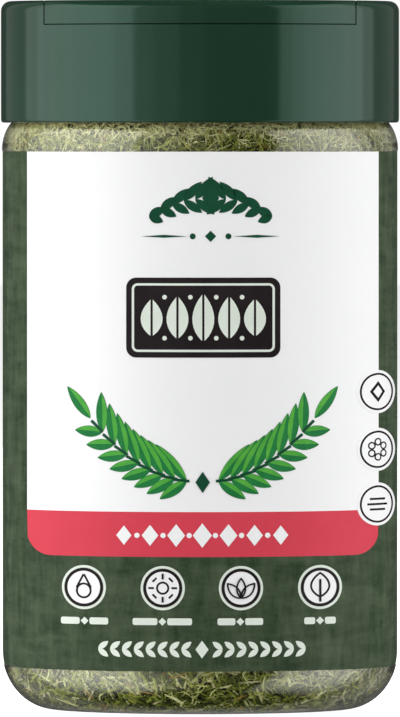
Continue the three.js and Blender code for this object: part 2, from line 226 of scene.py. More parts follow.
THREAD_FOOT, THREAD_PITCH, THREAD_TURNS = 94.6 * MM, 4.2 * MM, 1.25
WELD = 0.002 * MM


def fresh(add, **settings):
    """Adds a primitive with nothing else selected, and fixes it at its place."""
    bpy.ops.object.select_all(action="DESELECT")
    add(**settings)
    bpy.ops.object.transform_apply(location=True, rotation=True, scale=True)
    return bpy.context.object


def select_mesh():
    bpy.ops.mesh.select_all(action="SELECT")


def open_mesh():
    bpy.ops.object.mode_set(mode="EDIT")
    select_mesh()


def close_mesh():
    bpy.ops.object.mode_set(mode="OBJECT")


def close_up(open_ends):
    """Welds a turned mesh, fills its open ends and faces it outwards."""
    select_mesh()
    bpy.ops.mesh.remove_doubles(threshold=WELD)
    if open_ends:
        bpy.ops.mesh.select_all(action="DESELECT")
        bpy.ops.mesh.select_non_manifold()
        bpy.ops.mesh.fill_holes(sides=0)
        select_mesh()
    bpy.ops.mesh.normals_make_consistent(inside=False)
    close_mesh()


def take_up(piece):
    """Makes a piece the active one, with nothing else selected."""
    bpy.ops.object.select_all(action="DESELECT")
    bpy.context.view_layer.objects.active = piece
    piece.select_set(True)


def worked(piece, kind, **settings):
    """Gives a piece one modifier and applies it."""
    take_up(piece)
    modifier = piece.modifiers.new(kind.lower(), kind)
    for setting, value in settings.items():
        setattr(modifier, setting, value)
    bpy.ops.object.modifier_apply(modifier=modifier.name)


def arc(centre, radii, first, last, steps):
    """Points [radius, height] on an ellipse, at angles in degrees from the horizontal."""
    angles = [math.radians(first + (last - first) * i / steps) for i in range(steps + 1)]
    return [(centre[0] + radii[0] * math.cos(a), centre[1] + radii[1] * math.sin(a)) for a in angles]


def turned(name, outline, start=0.0, sweep=360.0, sides=SIDES):
    """A piece turned clockwise about Z, seen from above, from (radius, height) points."""
    piece = fresh(bpy.ops.mesh.primitive_plane_add, size=MM)
    piece.name = piece.data.name = name
    open_mesh()
    bpy.ops.mesh.merge(type="CENTER")
    across = Vector((math.cos(math.radians(start)), math.sin(math.radians(start)), 0))
    at = Vector((0, 0, 0))
    for i, (radius, height) in enumerate(outline):
        step = across * radius + Vector((0, 0, height)) - at
        at += step
        if i:
            bpy.ops.mesh.extrude_region_move(TRANSFORM_OT_translate={"value": step})
        else:
            bpy.ops.transform.translate(value=step)
    select_mesh()
    bpy.ops.mesh.spin(steps=sides, angle=math.radians(sweep), center=(0, 0, 0), axis=(0, 0, 1))
    close_up(sweep < 360)
    return piece


def heel_radius(height):
    """The jar's outline on its wall and heel, before the recess is taken off."""
    below = max(0.0, HEEL_HEIGHT - height) / HEEL_HEIGHT
    return HEEL_CENTRE + HEEL_WIDTH * math.sqrt(1 - below * below)


def inside(fit):
    """The jar's inside from the middle of its floor to the mouth, moved in by fit, by stretch."""
    sunk = JAR_WALL + fit
    turned_up = -math.degrees(math.asin((HEEL_HEIGHT - RECESS_FOOT + 0.9 * MM) / (HEEL_HEIGHT - sunk)))
    set_back = RECESS_DEPTH + sunk
    shoulder = (SHOULDER_WIDTH - sunk, SHOULDER_RISE - sunk)
    return {
        "floor": [(r, z + sunk) for r, z in base_outline[:-1]],
        "heel": arc((HEEL_CENTRE, HEEL_HEIGHT), (HEEL_WIDTH - sunk, HEEL_HEIGHT - sunk), -90, turned_up, 24),
        "wall": [
            *[(heel_radius(z) - set_back, z) for z in LOW_RINGS],
            (JAR_RADIUS - set_back, 40 * MM),
            (JAR_RADIUS - set_back, RECESS_HEAD),
        ],
        "shoulder": [
            *arc((JAR_RADIUS - SHOULDER_WIDTH, SHOULDER_FOOT), shoulder, 10, SHOULDER_END, 16),
            (MOUTH_RADIUS - fit, NECK_FOOT - fit),
        ],
    }


# Radius and height in mm, from the middle of the pushed-up base to the standing ring.
BASE_POINTS = ((0, 2.6), (7, 2.5), (13, 2.2), (16.5, 1.6), (19, 0.8), (19.9, 0.15), (20.4, 0))
base_outline = [(radius * MM, height * MM) for radius, height in BASE_POINTS]
recess_angle = -math.degrees(math.asin(1 - RECESS_FOOT / HEEL_HEIGHT))
outside_outline = [
    *base_outline,
    *arc((HEEL_CENTRE, HEEL_HEIGHT), (HEEL_WIDTH, HEEL_HEIGHT), -90, recess_angle, 28),
    *[(heel_radius(z) - RECESS_DEPTH, z) for z in LOW_RINGS],
    (JAR_RADIUS - RECESS_DEPTH, 40 * MM),
    (JAR_RADIUS - RECESS_DEPTH, RECESS_HEAD),
    (JAR_RADIUS - 0.05 * MM, RECESS_HEAD),
    *arc((JAR_RADIUS - SHOULDER_WIDTH, SHOULDER_FOOT), (SHOULDER_WIDTH, SHOULDER_RISE), 3, SHOULDER_END, 20),
    (NECK_RADIUS, RIM_HEIGHT - 0.5 * MM),
    (NECK_RADIUS - 0.15 * MM, RIM_HEIGHT - 0.15 * MM),
    (NECK_RADIUS - 0.5 * MM, RIM_HEIGHT),
    (MOUTH_RADIUS + 0.5 * MM, RIM_HEIGHT),
    (MOUTH_RADIUS + 0.15 * MM, RIM_HEIGHT - 0.15 * MM),
    (MOUTH_RADIUS, RIM_HEIGHT - 0.5 * MM),
]
jar_shell = turned("jar_shell", [*outside_outline, *reversed(sum(inside(0).values(), []))])


def boolean(piece, tool, operation):
    """Cuts or joins tool with piece, and removes tool."""
    worked(piece, "BOOLEAN", operation=operation, solver="EXACT", object=tool)
    bpy.data.objects.remove(tool)


def thread_ridge(root_radius, side, foot):
    """A thread ridge wound round Z: side is 1 for one that stands outwards, -1 for inwards."""
    crest, sunk, half_root, half_crest, run_out = 1.1 * MM, 0.35 * MM, 0.9 * MM, 0.4 * MM, 0.15
    ridge = fresh(bpy.ops.mesh.primitive_plane_add, size=MM, rotation=(math.pi / 2, 0, 0))
    for corner in ridge.data.vertices:
        at_crest = corner.co.x * side > 0
        radius = root_radius + side * (crest if at_crest else -sunk)
        rise = math.copysign(half_crest if at_crest else half_root, corner.co.z)
        corner.co = (radius, 0, foot + rise)
    steps = int(SIDES / 2 * THREAD_TURNS)
    climb = {"angle": 2 * math.pi * THREAD_TURNS, "screw_offset": THREAD_PITCH * THREAD_TURNS}
    worked(ridge, "SCREW", steps=steps, render_steps=steps, **climb)
    for corner in ridge.data.vertices:
        x, y, z = corner.co
        radius, part_turn = math.hypot(x, y), math.atan2(y, x) / (2 * math.pi)
        turns = part_turn + round((z - foot) / THREAD_PITCH - part_turn)
        fade = min(1, (min(turns, THREAD_TURNS - turns) + 0.008) / run_out)
        if (radius - root_radius) * side > 0:
            level = root_radius + side * (crest * fade - sunk / 2 * (1 - fade))
            corner.co = (x * level / radius, y * level / radius, z)
    open_mesh()
    close_up(True)
    return ridge


def smooth(piece, angle=32, flats=False):
    """Smooth shading up to an angle. flats keeps large flat faces flat beside rounded edges."""
    take_up(piece)
    bpy.ops.object.shade_smooth_by_angle(angle=math.radians(angle))
    if flats:
        worked(piece, "WEIGHTED_NORMAL", keep_sharp=True)


boolean(jar_shell, thread_ridge(NECK_RADIUS, 1, THREAD_FOOT), "UNION")
smooth(jar_shell)


def node_group(name, inputs, outputs):
    """A shader node group, with its input and output nodes."""
    group = bpy.data.node_groups.new(name, "ShaderNodeTree")
    for way, sockets in (("INPUT", inputs), ("OUTPUT", outputs)):
        for title, value in sockets.items():
            kind = "NodeSocketColor" if isinstance(value, tuple) else "NodeSocketFloat"
            socket = group.interface.new_socket(name=title, in_out=way, socket_type=kind)
            socket.default_value = value
    return group, group.nodes.new("NodeGroupInput"), group.nodes.new("NodeGroupOutput")


def use_group(tree, group, **values):
    node = tree.nodes.new("ShaderNodeGroup")
    node.node_tree = group
    return dial(node, **values)


def texture(tree, kind, **values):
    """A texture, or a mapping for one, in the piece's own coordinates."""
    node = add_node(tree, kind, **values)
    link(add_node(tree, "TexCoord"), "Object", node, "Vector")
    return node


def ramp(tree, stops):
    """A colour ramp with a colour at each position."""
    node = add_node(tree, "ValToRGB")
    elements = node.color_ramp.elements
    for end in (0, -1):
        elements[end].position, elements[end].color = stops[end][0], (*stops[end][1], 1)
    for position, colour in stops[1:-1]:
        elements.new(position).color = (*colour, 1)
    return node


def bump(source, out, shader, strength, distance):
    """Raises and sinks a shader's surface by another node's output."""
    node = add_node(shader.id_data, "Bump", Strength=strength, Distance=distance)
    link(source, out, node, "Height")
    link(node, "Normal", shader, "Normal")


# Moulded plastic is never quite flat: a faint ripple of the mould and fine handling scuffs.
moulded, given, put_out = node_group(
    "moulded_surface",
    {"Ripple Scale": 120.0, "Scuff Scale": 900.0, "Roughness": 0.2, "Scuffing": 0.05},
    {"Height": 0.0, "Roughness": 0.0},
)
ripple, scuff = texture(moulded, "TexNoise"), texture(moulded, "TexNoise", Detail=5)
link(given, "Ripple Scale", ripple, "Scale")
link(given, "Scuff Scale", scuff, "Scale")
centred, spread = maths(moulded, "SUBTRACT"), maths(moulded, "MULTIPLY_ADD")
link(scuff, "Fac", centred, 0)
link(centred, 0, spread, 0)
link(given, "Scuffing", spread, 1)
link(given, "Roughness", spread, 2)
link(spread, 0, put_out, "Roughness")
link(ripple, "Fac", put_out, "Height")

clear, tree, shader = material(
    "clear_plastic",
    Base_Color=(0.985, 0.99, 0.935, 1),
    Transmission_Weight=1,
    IOR=1.65,
    Specular_Tint=(0.99, 1, 0.88, 1),
)
surface = use_group(tree, moulded, Ripple_Scale=70, Scuff_Scale=500, Roughness=0.08, Scuffing=0.05)
link(surface, "Roughness", shader, "Roughness")
bump(surface, "Height", shader, 0.12, 0.3 * MM)
mixed = add_node(tree, "MixShader")
link(add_node(tree, "LightPath"), "Is Shadow Ray", mixed, "Fac")
link(shader, "BSDF", mixed, 1)
link(add_node(tree, "BsdfTransparent", Color=(0.96, 0.97, 0.96, 1)), "BSDF", mixed, 2)
link(mixed, 0, tree.nodes["Material Output"], "Surface")
jar_shell.data.materials.append(clear)
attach(jar_shell, "jar_and_cap")
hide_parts("jar")

# ------------------------ the imported herb
# The dill is packed against the wall all round and heaped up in the neck. Its inner mass is one
# uneven body, which the chopped pieces of the next section lie on, coloured near black as painted
# shade for the depths between them.
MASS_DEPTH = 1.15 * MM  # how far it lies inside the wall
MASS_RELIEF, MASS_GRID = 0.9 * MM, 1.2 * MM
HEAP_HEIGHT = 97.2 * MM


def heap_level(x, y):
    waves = np.sin(x / MM * 0.23 + 0.6) * np.cos(y / MM * 0.19)
    return HEAP_HEIGHT + 0.9 * MM * (waves - (x * x + y * y) / (700 * MM * MM))


mass_outline = sum(inside(MASS_DEPTH + 0.35 * MM).values(), [])
mass_rings = [mass_outline[0]]
for (r0, z0), (r1, z1) in zip(mass_outline, mass_outline[1:]):
    cuts = max(1, round(math.hypot(r1 - r0, z1 - z0) / MASS_GRID))
    mass_rings += [(r0 + (r1 - r0) * i / cuts, z0 + (z1 - z0) * i / cuts) for i in range(1, cuts + 1)]
mouth = mass_rings[-1][0]
mass_rings += [(mouth, z * MM) for z in (92, 93.5, 95)]
mass_rings += [(mouth * (1 - i / 20), HEAP_HEIGHT) for i in range(21)]
herb_mass = turned("herb_mass", mass_rings, sides=144)
for vertex in herb_mass.data.vertices:
    x, y, z = vertex.co
    radius = math.hypot(x, y)
    relief = MASS_RELIEF * (noise.noise(vertex.co / (1.6 * MM)) - 0.2)
    if z > HEAP_HEIGHT - 0.01 * MM:
        vertex.co.z = heap_level(x, y) + relief - 0.4 * MM
    elif radius > MM:
        grow = 1 + relief / radius
        vertex.co = (x * grow, y * grow, z - relief * max(0.0, 1 - z / HEEL_HEIGHT))
smooth(herb_mass, 60)
# The mass's near-black tones are painted shade deep among the pieces.
mass_shade_paint, tree, shader = material("herb_mass", Roughness=0.9, Specular_IOR_Level=0.1)
cells = texture(tree, "TexVoronoi", Scale=900)
tones = ramp(tree, [(0, (0.010, 0.012, 0.003)), (1, (0.070, 0.080, 0.020))])
link(cells, "Color", tones, "Fac")
link(tones, "Color", shader, "Base Color")
bump(cells, "Distance", shader, 0.6, 0.4 * MM)
herb_mass.data.materials.append(mass_shade_paint)
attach(herb_mass, "jar_and_cap")
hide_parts("dried_dill")

# ------------------------ the chopped leaves
# Chopped dill is thin needles of leaf, a few forked, with bits of pale stem. A handful of shapes
# are modelled once each, and thousands of copies lie on the mass wherever the jar shows it.
BAKE_MAP = "OFBake"


def chopped(sides, width, flatness, stations):
    """One chopped piece: an end face grown along Z, with a drift and a scale at each station."""
    piece = fresh(bpy.ops.mesh.primitive_circle_add, vertices=sides, radius=width / 2, fill_type="NGON")
    open_mesh()
    bpy.ops.transform.resize(value=(1, flatness, 1), center_override=(0, 0, 0))
    place = Vector((0, 0, 0))
    for advance, drift, grow in stations:
        step = Vector((drift, 0, advance)) * MM
        bpy.ops.mesh.extrude_region_move(TRANSFORM_OT_translate={"value": step})
        place += step
        bpy.ops.transform.resize(value=(grow, grow, 1), center_override=place)
    select_mesh()
    bpy.ops.mesh.quads_convert_to_tris()
    bpy.ops.mesh.normals_make_consistent(inside=False)
    close_mesh()
    corners = np.array([v.co for v in piece.data.vertices])
    faces = np.array([p.vertices for p in piece.data.polygons])
    bpy.data.objects.remove(piece)
    corners -= (corners.min(0) + corners.max(0)) / 2
    return corners, faces


def both(first, second):
    """Two shapes as one, for forked pieces."""
    return np.vstack([first[0], second[0]]), np.vstack([first[1], second[1] + len(first[0])])


def leaning(shape, angle, shift):
    """A shape turned in its own plane and moved along and across it."""
    c, s = math.cos(math.radians(angle)), math.sin(math.radians(angle))
    turn = np.array([[c, 0, s], [0, 1, 0], [-s, 0, c]])
    return shape[0] @ turn.T + np.array([shift[0], 0, shift[1]]) * MM, shape[1]


needle = chopped(3, 0.135 * MM, 0.8, [(1.0, 0.06, 1.45), (1.3, 0.22, 0.35)])
blade = chopped(3, 0.21 * MM, 0.45, [(0.9, 0.0, 1.3), (1.1, 0.16, 0.4)])
hooked = chopped(3, 0.135 * MM, 0.75, [(0.6, 0.08, 1.3), (0.6, 0.28, 1.0), (0.4, 0.5, 0.45)])
curl = chopped(3, 0.125 * MM, 0.8, [(0.8, -0.35, 1.3), (0.8, 0.1, 1.0), (0.6, 0.5, 0.9), (0.2, 0.7, 0.5)])
stalk = chopped(4, 0.3 * MM, 0.85, [(1.3, 0.05, 1.0), (1.3, 0.1, 0.85)])
tine = chopped(3, 0.13 * MM, 0.75, [(0.9, 0.06, 0.5)])
crumb = chopped(3, 0.26 * MM, 0.5, [(0.5, 0.1, 0.6)])
forked = both(needle, both(leaning(tine, 38, (0.3, 0.3)), leaning(tine, -35, (-0.32, -0.15))))
CHOPPED_SHAPES = [needle, blade, hooked, curl, forked, crumb, stalk]
STALK = 6
SHARES = [0.27, 0.20, 0.17, 0.15, 0.08, 0.10, 0.03]
# Painted light and shade on the herb by height: darker towards the floor as painted shade, paler
# over the heel and most of all behind the shoulder as painted light where the label and cap shade it.
PAINTED_LIGHT_HEIGHTS = np.array([0, 4.2, 6, 9, 86, 87.4, 88.3, 89.4, 91.6, 92.4]) * MM
PAINTED_LIGHT_RISES = [-0.16, -0.12, 0.12, 0.14, 0.04, 0.16, 0.70, 1.0, 1.0, 0.0]
# Pieces near the wall get painted light and deep ones painted shade, for the shade among the pieces.
SURFACE_PAINTED_LIGHT, DEPTH_PAINTED_SHADE = 0.32, 0.80 / (1.3 * MM)
BROWN_SHARE, BROWN_TONE = 0.018, 0.87
FLAKE_CLEARANCE = 0.04 * MM
random = np.random.default_rng(404)


def unit(vectors):
    return vectors / np.linalg.norm(vectors, axis=-1, keepdims=True)


def lay_chopped(name, places, outward, bends, depths, tilt, grown=1.0):
    """Lays one chopped piece at each place on a surface, under it by its depth and turned at
    random in it. bends are the surface's curvatures round and up it. Tips end at the jar."""
    count = len(places)
    level = unit(np.cross([0, 0, 1.0], outward) + [1e-9, 0, 0])
    rising = np.cross(outward, level)
    spin = random.uniform(0, 2 * np.pi, count)[:, None]
    along = np.cos(spin) * level + np.sin(spin) * rising
    along = unit(along + outward * random.normal(0, tilt, count)[:, None])
    roll = random.normal(0, 0.5, count)[:, None]
    flat = unit(outward - along * (outward * along).sum(1, keepdims=True))
    side = np.cross(flat, along)
    flat, side = flat * np.cos(roll) + side * np.sin(roll), side * np.cos(roll) - flat * np.sin(roll)
    size = grown * random.uniform(0.6, 1.5, count)
    breadth = random.uniform(0.8, 2.0, count)
    kind = random.choice(len(CHOPPED_SHAPES), count, p=SHARES)
    # Painted light and shade by height.
    painted_light_and_shade = np.interp(places[:, 2], PAINTED_LIGHT_HEIGHTS, PAINTED_LIGHT_RISES)
    # Painted light on pieces near the wall, painted shade on deep ones.
    painted_light_and_shade += SURFACE_PAINTED_LIGHT - DEPTH_PAINTED_SHADE * depths
    tone = 0.8 * (random.beta(1.2, 1.6, count) + painted_light_and_shade).clip(0, 1)
    tone = np.where(random.random(count) < BROWN_SHARE, BROWN_TONE, tone)
    tone = np.where(kind == STALK, 0.94 + 0.05 * random.random(count), tone)
    corners, faces, maps, total = [], [], [], 0
    for k, (shape, shape_faces) in enumerate(CHOPPED_SHAPES):
        at = np.flatnonzero(kind == k)
        if not len(at):
            continue
        scaled = shape[None] * size[at, None, None]
        laid = (
            scaled[..., 0:1] * (side * breadth[:, None])[at, None]
            + scaled[..., 1:2] * flat[at, None]
            + scaled[..., 2:3] * along[at, None]
        )
        proud = (laid * outward[at, None]).sum(2)
        proud += (laid * level[at, None]).sum(2) ** 2 * bends[at, 0, None] / 2
        proud += (laid * rising[at, None]).sum(2) ** 2 * bends[at, 1, None] / 2
        sink = np.maximum(depths[at], proud.max(1) + 0.03 * MM)
        laid += (places[at] - outward[at] * sink[:, None])[:, None]
        reach = np.hypot(laid[..., 0], laid[..., 1])
        over = np.interp(reach, *np.array(floor_level).T) + FLAKE_CLEARANCE
        laid[..., 2] = np.maximum(laid[..., 2], over)
        within = np.interp(laid[..., 2], *np.array(wall_reach).T) - FLAKE_CLEARANCE
        laid[..., :2] *= np.minimum(1, within / reach)[..., None]
        length = (shape[:, 2] - shape[:, 2].min()) / np.ptp(shape[:, 2])
        uv = np.stack(np.broadcast_arrays(tone[at, None], length[None] * 0.98 + 0.01), axis=2)
        starts = total + np.arange(len(at))[:, None, None] * len(shape)
        corners.append(laid.reshape(-1, 3))
        faces.append((shape_faces[None] + starts).reshape(-1, 3))
        maps.append(uv.reshape(-1, 2))
        total += len(at) * len(shape)
    corners, faces, maps = np.vstack(corners), np.vstack(faces), np.vstack(maps)
    mesh = bpy.data.meshes.new(name)
    mesh.from_pydata(corners, [], faces)
    layer = mesh.uv_layers.new(name=BAKE_MAP)
    layer.uv.foreach_set("vector", maps[faces.ravel()].astype(np.float32).ravel())
    piece = bpy.data.objects.new(name, mesh)
    scene.collection.objects.link(piece)
    piece.data.materials.append(leaf)
    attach(piece, "jar_and_cap")


def on_outline(count, outline, angles, bend):
    """Places on a turned outline, even by area: where, which way out, and the curvatures."""
    ends = np.array(outline)
    spans = np.diff(ends, axis=0)
    areas = np.hypot(*spans.T) * (ends[1:, 0] + ends[:-1, 0])
    span = random.choice(len(spans), count, p=areas / areas.sum())
    share = random.random(count)[:, None]
    r, z = (ends[span] + spans[span] * share).T
    slope = unit(np.stack([spans[span, 1], -spans[span, 0]], 1))
    turn = angles(count)
    c, s = np.cos(turn), np.sin(turn)
    places = np.stack([r * c, r * s, z], 1)
    outward = np.stack([slope[:, 0] * c, slope[:, 0] * s, slope[:, 1]], 1)
    bends = np.stack([slope[:, 0].clip(0) / r, np.full(count, bend)], 1)
    return places, outward, bends


leaf, tree, shader = material("chopped_leaf", Roughness=0.7, Specular_IOR_Level=0.1)
own_map = add_node(tree, "UVMap")
own_map.uv_map = BAKE_MAP
parts = add_node(tree, "SeparateXYZ")
link(own_map, "UV", parts, 0)
LEAF_TONES = [  # from dark green through olive and straw to brown and pale stem
    (0.00, (0.020, 0.030, 0.005)),
    (0.20, (0.095, 0.130, 0.020)),
    (0.40, (0.275, 0.322, 0.048)),
    (0.58, (0.490, 0.525, 0.112)),
    (0.80, (0.900, 0.905, 0.540)),
    (0.85, (0.470, 0.300, 0.080)),
    (0.89, (0.420, 0.240, 0.060)),
    (0.93, (0.620, 0.580, 0.320)),
    (1.00, (0.760, 0.740, 0.540)),
]
TIP_TONES = [(0, (0.72, 0.70, 0.58)), (0.45, (1.05, 1.05, 1.0)), (1, (0.92, 0.88, 0.72))]
dried = colour_mix(tree, Factor=1)
dried.blend_type = "MULTIPLY"
for part, stops, into in (("X", LEAF_TONES, "A"), ("Y", TIP_TONES, "B")):
    tones = ramp(tree, stops)
    link(parts, part, tones, "Fac")
    link(tones, "Color", dried, into)
link(dried, "Result", shader, "Base Color")


def all_round(count):
    return random.uniform(0, 2 * np.pi, count)


def at_seam(count):
    return np.pi / 2 + random.uniform(-0.16, 0.16, count)


stretches = inside(0)
floor_level = [*stretches["floor"], stretches["heel"][0]]
wall_reach = [(z, r) for part in ("heel", "wall", "shoulder") for r, z in stretches[part]]
wall = stretches["wall"]
wall_foot = [(wall[-1][0], LABEL_HEAD - MM), (wall[-1][0], LABEL_HEAD)]
shoulder = [*wall_foot, *stretches["shoulder"]]
BANDS = {  # how many pieces, on what, where round it, how much it curves upwards, and their size
    "herb_floor": (3000, stretches["floor"], all_round, 0.0, 1.25),
    "herb_heel": (7600, [*stretches["heel"][:-2], *wall[:3]], all_round, 1 / (7 * MM), 1.45),
    "herb_shoulder": (9200, shoulder, all_round, 1 / (5 * MM), 1.0),
    "herb_seam": (3600, wall, at_seam, 0.0, 1.1),
}
for name, (count, outline_points, angles, bend, grown) in BANDS.items():
    places, outward, bends = on_outline(count, outline_points, angles, bend)
    depths = 0.05 * MM + 1.25 * MM * random.random(count) ** 1.3
    lay_chopped(name, places, outward, bends, depths, 0.12, grown)
HEAP_COUNT = 3400
radius = (MOUTH_RADIUS - 1.6 * MM) * np.sqrt(random.random(HEAP_COUNT))
turn = all_round(HEAP_COUNT)
x, y = radius * np.cos(turn), radius * np.sin(turn)
upward = unit(np.stack([*random.normal(0, 0.25, (2, HEAP_COUNT)), np.ones(HEAP_COUNT)], 1))
lay_chopped(
    "herb_heap",
    np.stack([x, y, heap_level(x, y) + 0.75 * MM], 1),
    upward,
    np.zeros((HEAP_COUNT, 2)),
    1.2 * MM * random.random(HEAP_COUNT),
    0.2,
)

# ------------------------ the label
# A printed film wrapped round the straight wall and just over the top of the heel. Its ends stop
# short of each other at the back, where the herb shows in a strip.
FILM_THICKNESS = 0.14 * MM
FILM_PROUD = -0.1 * MM
SEAM_ANGLE = math.degrees(math.asin(3.5 / 30.2))  # half the bare strip
film_heights = [LABEL_FOOT, *LOW_RINGS[1:], 30 * MM, 60 * MM, LABEL_HEAD]
film_face = [(heel_radius(z) + FILM_PROUD, z) for z in film_heights]
film_back = [(r - FILM_THICKNESS, z) for r, z in film_face]
film_outline = [*film_face, *reversed(film_back), film_face[0]]
label_film = turned("label_film", film_outline, 90 - SEAM_ANGLE, 360 - 2 * SEAM_ANGLE)
smooth(label_film)

# Ink lies unevenly on film: fine worn streaks of it run both round the jar and up it.
ink_cloud, given, put_out = node_group(
    "ink_clouds",
    {"Light Ink": (0.1, 0.1, 0.1, 1), "Dark Ink": (0.05, 0.05, 0.05, 1), "Cloud Scale": 90.0},
    {"Colour": (0, 0, 0, 1), "Cover": 0.0},
)
crossed = maths(ink_cloud, "ADD")
for i, stretch in enumerate(((0.5, 0.5, 2.2), (2.4, 2.4, 0.6))):
    cloud = add_node(ink_cloud, "TexNoise", Detail=6, Roughness=0.7)
    link(texture(ink_cloud, "Mapping", Scale=stretch), "Vector", cloud, "Vector")
    link(given, "Cloud Scale", cloud, "Scale")
    link(cloud, "Fac", crossed, i)
cover = add_node(ink_cloud, "MapRange", From_Min=0.76, From_Max=1.24)
link(crossed, 0, cover, "Value")
laid = colour_mix(ink_cloud)
link(cover, "Result", laid, "Factor")
link(given, "Dark Ink", laid, "A")
link(given, "Light Ink", laid, "B")
link(laid, "Result", put_out, "Colour")
link(cover, "Result", put_out, "Cover")


def ink(name, light, dark, scale=90):
    """A printing ink under the film's clear satin varnish."""
    paint, tree, shader = material(name, Roughness=0.2, Specular_IOR_Level=0.04)
    clouds = use_group(tree, ink_cloud, Light_Ink=(*light, 1), Dark_Ink=(*dark, 1), Cloud_Scale=scale)
    link(clouds, "Colour", shader, "Base Color")
    bump(clouds, "Cover", shader, 0.05, 0.05 * MM)
    return paint


field_ink = ink("field_ink", (0.071, 0.100, 0.0585), (0.0225, 0.0405, 0.020), 210)
label_film.data.materials.append(field_ink)
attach(label_film, "jar_and_cap")
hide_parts("label")

# ------------------------ the print
# Panels and ornaments are thin layers of ink on the film's face. Each is drawn flat, as seen from
# the front, cut at even steps round the jar, laid on the film and given its thickness.
FILM_RADIUS = JAR_RADIUS + FILM_PROUD
INK_THICKNESS = 0.02 * MM
CUT_STEP, LAST_CUT = 2, 88  # in degrees round the jar
PRINT_EDGE = FILM_RADIUS * math.sin(math.radians(80))
UNIT_SQUARE = math.sqrt(2) / MM  # corner to corner


def set_down(x, z, turn):
    """Turns a flat shape in edit mode, then moves it to x, z in mm."""
    if turn:
        bpy.ops.transform.rotate(value=math.radians(turn), orient_axis="Y", center_override=(0, 0, 0))
    bpy.ops.transform.translate(value=(x * MM, 0, z * MM))
    close_mesh()


def flat_shape(x, z, width, height, corners=48, turn=0):
    """A flat ellipse or polygon, in mm, in the plane of the label's front."""
    shape = fresh(
        bpy.ops.mesh.primitive_circle_add,
        vertices=corners,
        radius=0.5,
        fill_type="NGON",
        rotation=(math.pi / 2, 0, 0),
    )
    open_mesh()
    bpy.ops.transform.resize(value=(width * MM, 1, height * MM), center_override=(0, 0, 0))
    set_down(x, z, turn)
    return shape


def bar(x, z, width, height, corner=0, turn=0):
    """A flat bar with rounded corners, in mm."""
    shape = flat_shape(0, 0, UNIT_SQUARE, UNIT_SQUARE, 4, 45)
    open_mesh()
    bpy.ops.transform.resize(value=(width * MM, 1, height * MM), center_override=(0, 0, 0))
    if corner:
        bpy.ops.mesh.bevel(affect="VERTICES", offset=corner * MM, offset_type="OFFSET", segments=7)
        select_mesh()
    set_down(x, z, turn)
    return shape


def outline(shape, line):
    """Keeps only an even line along the edge of a flat shape."""
    open_mesh()
    bpy.ops.mesh.inset(thickness=line * MM)
    bpy.ops.mesh.delete(type="FACE")
    close_mesh()
    return shape


def leaf_shape(x, z, length, width, turn, half=0):
    """A pointed oval leaf from its stalk end at x, z. half is 1 or -1 for one side of its rib."""
    shape = flat_shape(0, 0, width, length, 28)
    for vertex in shape.data.vertices:
        share = min(1.0, max(0.0, vertex.co.z / (length * MM) + 0.5))
        vertex.co.x *= 1.15 * math.sin(math.pi * share**0.8) ** 0.35
        if half:
            vertex.co.x = half * max(0.06 * width * MM, half * vertex.co.x)
        vertex.co.z += length * MM / 2
    open_mesh()
    bpy.ops.mesh.remove_doubles(threshold=0.005 * MM)
    set_down(x, z, turn)
    return shape


def printed(name, shapes, paint, layer):
    """Joins flat shapes into one layer of ink and lays it on the film."""
    take_up(shapes[0])
    for shape in shapes[1:]:
        shape.select_set(True)
    if len(shapes) > 1:
        bpy.ops.object.join()
    piece = bpy.context.object
    piece.name = piece.data.name = name
    reach = [v.co.x for v in piece.data.vertices]
    open_mesh()
    for turn in range(-LAST_CUT, LAST_CUT + 1, CUT_STEP):
        at = FILM_RADIUS * math.sin(math.radians(turn))
        if min(reach) < at < max(reach):
            select_mesh()
            bpy.ops.mesh.bisect(plane_co=(at, 0, 0), plane_no=(1, 0, 0))
    if max(reach) > PRINT_EDGE:
        select_mesh()
        bpy.ops.mesh.bisect(plane_co=(PRINT_EDGE, 0, 0), plane_no=(1, 0, 0), clear_outer=True)
    close_mesh()
    lift = FILM_RADIUS + layer * INK_THICKNESS
    for vertex in piece.data.vertices:
        x, _, z = vertex.co
        y = -math.sqrt(max(0.0, FILM_RADIUS**2 - x * x))
        radius = lift - (JAR_RADIUS - heel_radius(z))
        vertex.co = (x * radius / FILM_RADIUS, y * radius / FILM_RADIUS, z)
    open_mesh()
    bpy.ops.mesh.normals_make_consistent(inside=False)
    close_mesh()
    if sum(face.normal.y * face.area for face in piece.data.polygons) > 0:
        piece.data.flip_normals()
    worked(piece, "SOLIDIFY", thickness=INK_THICKNESS * (layer + 0.5), offset=-1)
    smooth(piece)
    piece.data.materials.append(paint)
    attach(piece, "jar_and_cap")


white_ink = ink("white_ink", (0.86, 0.86, 0.86), (0.84, 0.843, 0.847), 40)
red_ink = ink("red_ink", (0.64, 0.060, 0.090), (0.60, 0.052, 0.080), 50)
black_ink = ink("black_ink", (0.022, 0.017, 0.018), (0.014, 0.011, 0.012))
cream_ink = ink("cream_ink", (0.72, 0.78, 0.70), (0.66, 0.72, 0.64))
bottle_ink = ink("bottle_green_ink", (0.012, 0.075, 0.038), (0.008, 0.055, 0.028))
deep_leaf_ink = ink("deep_leaf_ink", (0.022, 0.21, 0.055), (0.014, 0.15, 0.042), 220)
light_leaf_ink = ink("light_leaf_ink", (0.10, 0.40, 0.055), (0.055, 0.31, 0.05), 220)

